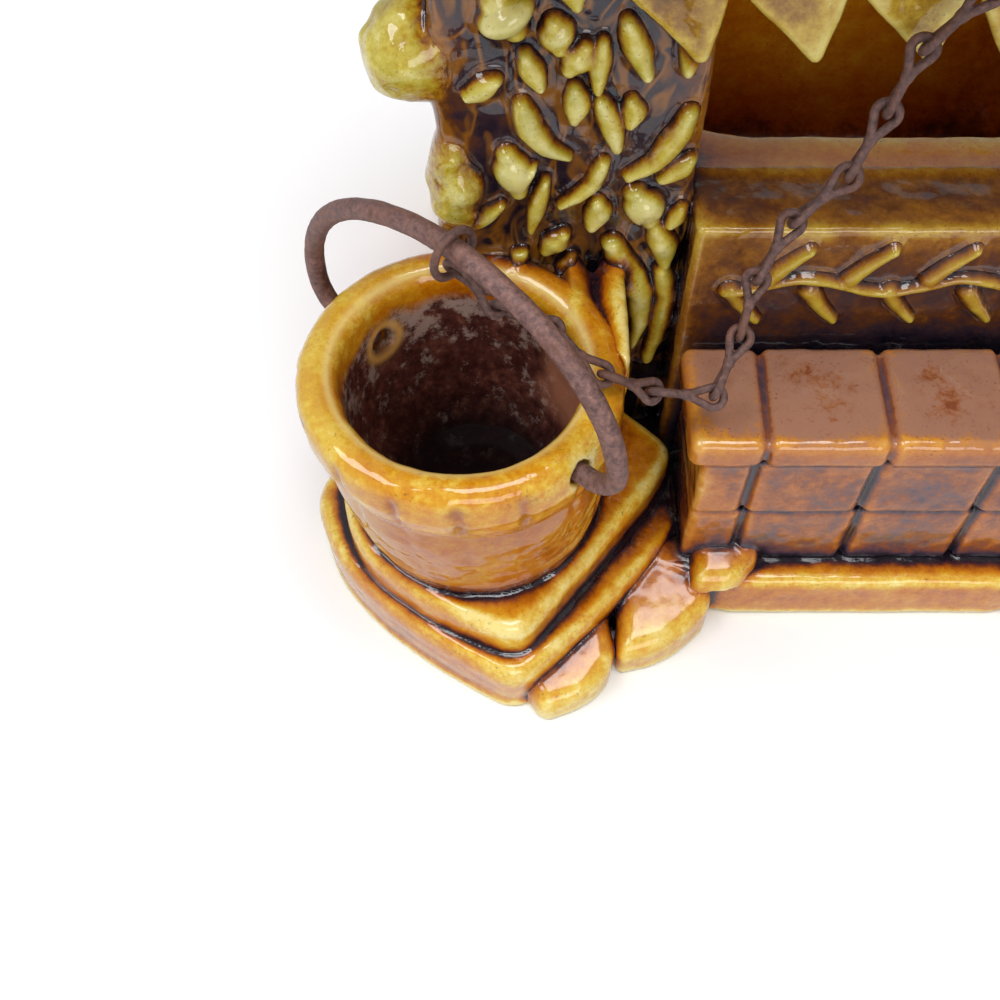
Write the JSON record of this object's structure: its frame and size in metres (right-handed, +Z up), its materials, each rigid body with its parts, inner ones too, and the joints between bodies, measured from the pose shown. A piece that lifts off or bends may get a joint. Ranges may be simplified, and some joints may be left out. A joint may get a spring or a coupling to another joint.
{
  "type": "wishing well planter",
  "caption": "Glazed pottery planter shaped as a roofed wishing well, with a bucket on a stepped stone base, a swinging wire bail and a wire link chain.",
  "frame": {"origin": "middle of the flat base, on the surface the planter stands on", "axes": "+X to the viewer's right, +Y to the back, +Z up"},
  "size_m": [0.153, 0.1072, 0.1702],
  "materials": {
    "glazed_pottery": "glossy",
    "rusty_wire": "matte"
  },
  "bodies": {
    "planter": {"basin": "glazed_pottery", "bucket": "glazed_pottery", "bucket_strap": "glazed_pottery", "front_panel": "glazed_pottery", "gable_left": "glazed_pottery", "gable_right": "glazed_pottery", "left_leaf_lobe_lower": "glazed_pottery", "left_leaf_lobe_upper": "glazed_pottery", "left_post": "glazed_pottery", "left_post_leaves": "glazed_pottery", "panel_sprig": "glazed_pottery", "plinth": "glazed_pottery", "ridge_cap": "glazed_pottery", "right_leaf_lobe_lower": "glazed_pottery", "right_leaf_lobe_upper": "glazed_pottery", "right_post": "glazed_pottery", "right_post_leaves": "glazed_pottery", "roof_back": "glazed_pottery", "roof_deck": "glazed_pottery", "roof_front": "glazed_pottery", "step_lower": "glazed_pottery", "step_upper": "glazed_pottery", "stone_left_back": "glazed_pottery", "stone_left_front": "glazed_pottery", "stone_left_middle": "glazed_pottery", "stone_right_front": "glazed_pottery", "stone_right_outer": "glazed_pottery", "stone_right_upper": "glazed_pottery", "valance_boards": "glazed_pottery", "well_coping": "glazed_pottery", "well_course_lower": "glazed_pottery", "well_course_upper": "glazed_pottery", "anchor_eye": "rusty_wire"},
    "bail": {"bail": "rusty_wire"},
    "chain_ring": {"chain_ring": "rusty_wire"},
    "chain_link_01": {"chain_link_01": "rusty_wire"},
    "chain_link_02": {"chain_link_02": "rusty_wire"},
    "chain_link_03": {"chain_link_03": "rusty_wire"},
    "chain_link_04": {"chain_link_04": "rusty_wire"},
    "chain_link_05": {"chain_link_05": "rusty_wire"},
    "chain_link_06": {"chain_link_06": "rusty_wire"},
    "chain_link_07": {"chain_link_07": "rusty_wire"},
    "chain_link_08": {"chain_link_08": "rusty_wire"},
    "chain_link_09": {"chain_link_09": "rusty_wire"},
    "chain_link_10": {"chain_link_10": "rusty_wire"},
    "chain_link_11": {"chain_link_11": "rusty_wire"},
    "chain_link_12": {"chain_link_12": "rusty_wire"},
    "chain_link_13": {"chain_link_13": "rusty_wire"}
  },
  "joints": [
    {"name": "bail_swing", "type": "hinge", "parent": "planter", "child": "bail", "pos_m": [-0.056, -0.031, 0.03825], "axis": [0.7123, -0.6879, 0.1392], "range_deg": [-5, 22]},
    {"name": "ring_turn", "type": "hinge", "parent": "bail", "child": "chain_ring", "pos_m": [-0.056, -0.031, 0.06221], "axis": [0.7123, -0.6879, 0.1392], "range_deg": [-12.1, 4.7]},
    {"name": "link_01_turn", "type": "hinge", "parent": "chain_ring", "child": "chain_link_01", "pos_m": [-0.05651, -0.03051, 0.05977], "axis": [0.5952, -0.5747, 0.5617], "range_deg": [-1.1, 2.4]},
    {"name": "link_02_turn", "type": "hinge", "parent": "chain_link_01", "child": "chain_link_02", "pos_m": [-0.05196, -0.03096, 0.05382], "axis": [0.3793, -0.5223, 0.7638], "range_deg": [-4.8, 12.3]},
    {"name": "link_03_turn", "type": "hinge", "parent": "chain_link_02", "child": "chain_link_03", "pos_m": [-0.04438, -0.03163, 0.0496], "axis": [-0.3114, -0.8494, -0.4261], "range_deg": [-0.7, 1.1]},
    {"name": "link_04_turn", "type": "hinge", "parent": "chain_link_03", "child": "chain_link_04", "pos_m": [-0.0397, -0.03498, 0.04681], "axis": [0.5201, -0.6361, 0.57], "range_deg": [-27.5, 10.5]},
    {"name": "link_05_turn", "type": "hinge", "parent": "chain_link_04", "child": "chain_link_05", "pos_m": [-0.03275, -0.03388, 0.0417], "axis": [-0.3017, -0.7612, -0.5741], "range_deg": [-15.4, 6]},
    {"name": "link_06_turn", "type": "hinge", "parent": "chain_link_05", "child": "chain_link_06", "pos_m": [-0.0253, -0.03433, 0.04146], "axis": [-0.101, -0.7956, -0.5973], "range_deg": [-4.2, 10.8]},
    {"name": "link_07_turn", "type": "hinge", "parent": "chain_link_06", "child": "chain_link_07", "pos_m": [-0.02302, -0.02785, 0.04629], "axis": [0.9135, -0.3164, -0.2558], "range_deg": [-8.3, 3.3]},
    {"name": "link_08_turn", "type": "hinge", "parent": "chain_link_07", "child": "chain_link_08", "pos_m": [-0.02238, -0.02566, 0.05341], "axis": [0.9647, -0.2595, -0.0449], "range_deg": [-5.9, 2.4]},
    {"name": "link_09_turn", "type": "hinge", "parent": "chain_link_08", "child": "chain_link_09", "pos_m": [-0.01919, -0.02341, 0.0598], "axis": [0.8953, -0.3511, -0.2741], "range_deg": [-2.2, 5.2]},
    {"name": "link_10_turn", "type": "hinge", "parent": "chain_link_09", "child": "chain_link_10", "pos_m": [-0.01397, -0.02254, 0.06515], "axis": [0.7182, -0.4216, -0.5536], "range_deg": [-3.3, 1.5]},
    {"name": "link_11_turn", "type": "hinge", "parent": "chain_link_10", "child": "chain_link_11", "pos_m": [-0.01188, -0.02082, 0.07218], "axis": [0.8969, -0.3721, -0.2392], "range_deg": [-3.6, 9.2]},
    {"name": "link_12_turn", "type": "hinge", "parent": "chain_link_11", "child": "chain_link_12", "pos_m": [-0.01043, -0.02052, 0.07948], "axis": [0.9118, -0.3705, -0.1772], "range_deg": [-6.3, 2.6]},
    {"name": "link_13_turn", "type": "hinge", "parent": "chain_link_12", "child": "chain_link_13", "pos_m": [-0.00591, -0.01939, 0.08379], "axis": [-0.418, -0.8776, 0.2346], "range_deg": [-0.6, 0.5]}
  ],
  "couplings": [
    {"joint": "ring_turn", "follows": "bail_swing", "ratio": -0.4347},
    {"joint": "link_01_turn", "follows": "bail_swing", "ratio": 0.0747},
    {"joint": "link_02_turn", "follows": "bail_swing", "ratio": 0.4392},
    {"joint": "link_03_turn", "follows": "bail_swing", "ratio": 0.0253},
    {"joint": "link_04_turn", "follows": "bail_swing", "ratio": -1.0054},
    {"joint": "link_05_turn", "follows": "bail_swing", "ratio": -0.5563},
    {"joint": "link_06_turn", "follows": "bail_swing", "ratio": 0.3835},
    {"joint": "link_07_turn", "follows": "bail_swing", "ratio": -0.2922},
    {"joint": "link_08_turn", "follows": "bail_swing", "ratio": -0.2049},
    {"joint": "link_09_turn", "follows": "bail_swing", "ratio": 0.1791},
    {"joint": "link_10_turn", "follows": "bail_swing", "ratio": -0.1066},
    {"joint": "link_11_turn", "follows": "bail_swing", "ratio": 0.3242},
    {"joint": "link_12_turn", "follows": "bail_swing", "ratio": -0.2169},
    {"joint": "link_13_turn", "follows": "bail_swing", "ratio": -0.0061}
  ]
}
